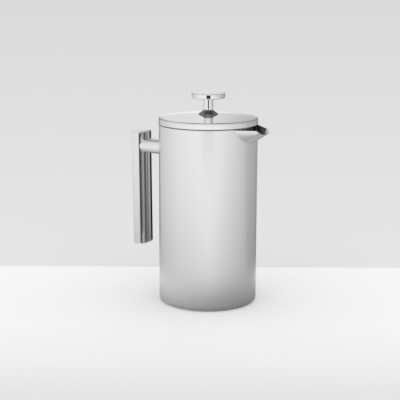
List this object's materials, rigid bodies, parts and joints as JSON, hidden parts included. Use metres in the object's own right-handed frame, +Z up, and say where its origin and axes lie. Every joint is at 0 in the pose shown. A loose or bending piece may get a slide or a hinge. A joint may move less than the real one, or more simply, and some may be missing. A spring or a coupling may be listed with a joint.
{
  "type": "french press",
  "caption": "Double-walled steel french press: straight round vessel with a pouring spout and tube handle, lift-off lid that turns, and a plunger with a mesh filter.",
  "frame": {"origin": "centre of the base on the vessel's axis, at the height of the surface it stands on", "axes": "+Z up along the vessel's axis, +X towards the spout, the handle is at -X, +Y completes a right-handed frame"},
  "size_m": [0.1574, 0.1046, 0.2227],
  "materials": {
    "satin_steel": "satin brushed stainless steel",
    "polished_steel": "mirror-polished stainless steel",
    "inner_steel": "plain drawn stainless steel",
    "mesh_steel": "fine woven stainless mesh",
    "spring_steel": "bright stainless spring wire",
    "dark_steel": "dark polished steel",
    "white_plastic": "moulded white plastic",
    "silicone": "soft translucent silicone"
  },
  "bodies": {
    "carafe": {"outer_shell": "satin_steel", "inner_vessel": "inner_steel", "base_plate": "satin_steel", "spout": "polished_steel", "handle_arm": "polished_steel", "handle_grip": "polished_steel", "grip_top_cap": "polished_steel", "grip_bottom_cap": "polished_steel", "handle_backing": "inner_steel"},
    "guide": {"guide_bush": "white_plastic", "bush_clip": "spring_steel"},
    "lid": {"lid_cover": "polished_steel", "lid_pan": "inner_steel", "guide_collar": "dark_steel", "collar_washer": "inner_steel", "collar_nut": "inner_steel"},
    "wiper": {"wiper_ring": "silicone"},
    "plunger": {"knob_disc": "polished_steel", "knob_stem": "polished_steel", "plunger_rod": "polished_steel", "rod_lock_nut": "inner_steel", "spring_plate": "inner_steel", "edge_spring": "spring_steel", "filter_screen": "mesh_steel", "cross_plate": "inner_steel", "hub_nut": "inner_steel"}
  },
  "joints": [
    {"name": "lid_lift", "type": "slide", "parent": "carafe", "child": "guide", "axis": [0, 0, 1], "range_m": [0, 0.18]},
    {"name": "lid_turn", "type": "hinge", "parent": "guide", "child": "lid", "pos_m": [0, 0, 0.1909], "axis": [0, 0, 1], "continuous": true},
    {"name": "plunger_spin", "type": "hinge", "parent": "guide", "child": "wiper", "pos_m": [0, 0, 0.18875], "axis": [0, 0, 1], "continuous": true},
    {"name": "plunger_press", "type": "slide", "parent": "wiper", "child": "plunger", "axis": [0, 0, 1], "range_m": [0, 0.15]}
  ]
}
